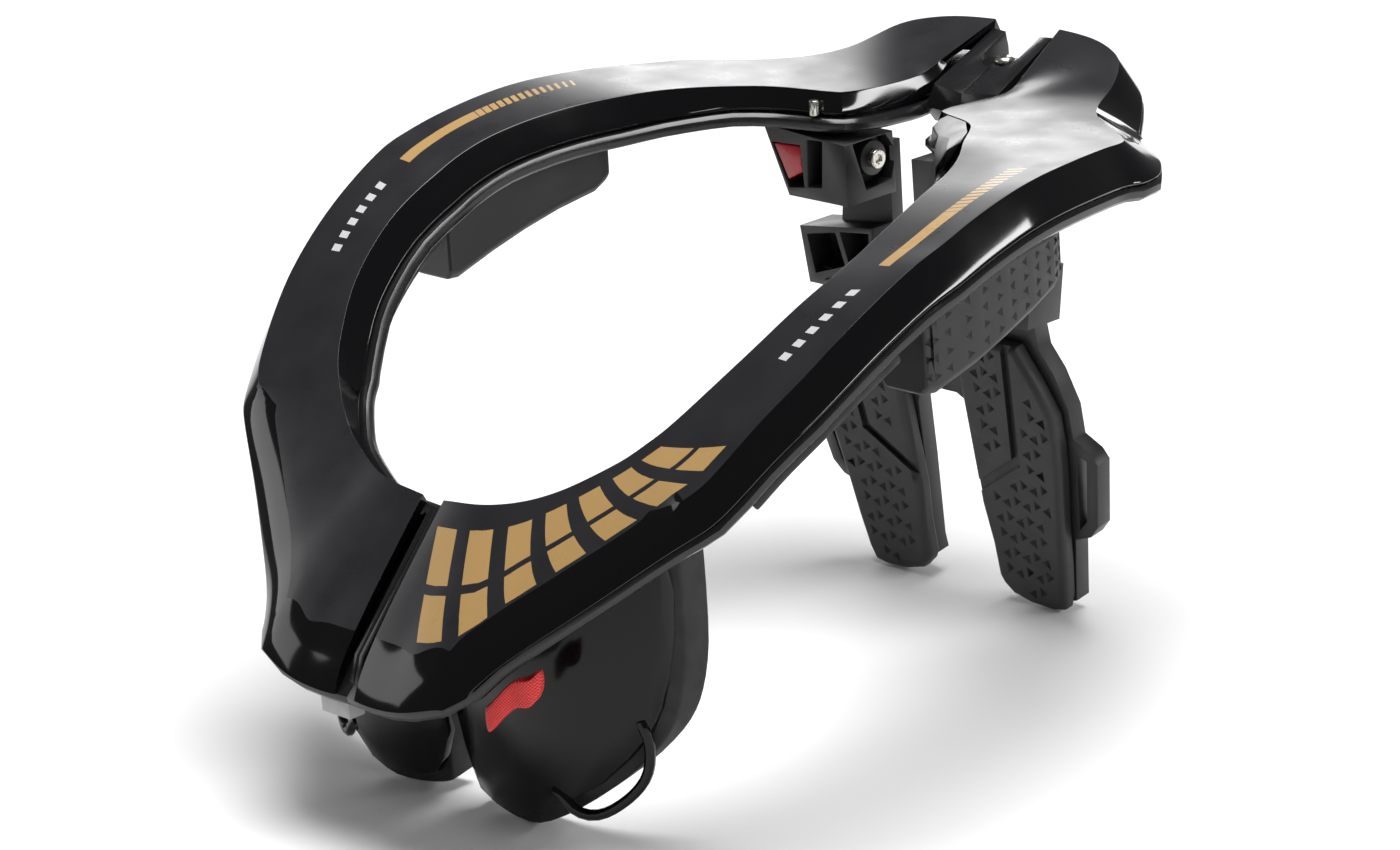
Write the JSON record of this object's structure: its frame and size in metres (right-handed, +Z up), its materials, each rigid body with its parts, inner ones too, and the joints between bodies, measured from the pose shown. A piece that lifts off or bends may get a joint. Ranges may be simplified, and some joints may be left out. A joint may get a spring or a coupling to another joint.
{
  "type": "motocross neck brace",
  "caption": "Neck brace with a glossy hinged collar, a pair of curved chest pads at the front and padded back legs, resting on its pads and legs.",
  "frame": {"origin": "on the floor, under the middle of the brace's box", "axes": "+Z up, -Y towards the wearer's front, +X towards the wearer's left"},
  "size_m": [0.2532, 0.3136, 0.1834],
  "materials": {
    "gloss_shell": "glossy bevels, satin top band, gold graphics",
    "gloss_plate": "glossy black",
    "matte_frame": "matte moulded black",
    "foam": "fine-grained closed-cell foam",
    "embossed_pad": "matte embossed moulded foam",
    "red_plastic": "glossy red",
    "red_webbing": "woven red webbing",
    "steel": "bright turned metal",
    "pale_plastic": "light grey moulded"
  },
  "bodies": {
    "right_half": {"cover_right": "gloss_shell", "chassis_right": "matte_frame", "hinge_pin": "steel", "chest_plate_right": "gloss_plate", "chest_foam_right": "foam", "front_pad_right": "foam", "shoulder_pad_right": "embossed_pad", "wedge_bracket_right": "matte_frame", "wedge_right": "red_plastic", "bolt_right": "steel", "leg_shell_right": "matte_frame", "leg_pad_right": "embossed_pad", "flange_stud": "steel", "seam_latch": "pale_plastic"},
    "left_half": {"cover_left": "gloss_shell", "chassis_left": "matte_frame", "chest_plate_left": "gloss_plate", "chest_foam_left": "foam", "front_pad_left": "foam", "shoulder_pad_left": "embossed_pad", "wedge_bracket_left": "matte_frame", "wedge_left": "red_plastic", "bolt_left": "steel", "leg_shell_left": "matte_frame", "leg_pad_left": "embossed_pad", "tongue": "gloss_shell", "release_pull": "red_webbing"}
  },
  "joints": [
    {"name": "collar_hinge", "type": "hinge", "parent": "right_half", "child": "left_half", "pos_m": [0, 0.13929, 0.165], "axis": [0, 0, 1], "range_deg": [0, 30]}
  ]
}
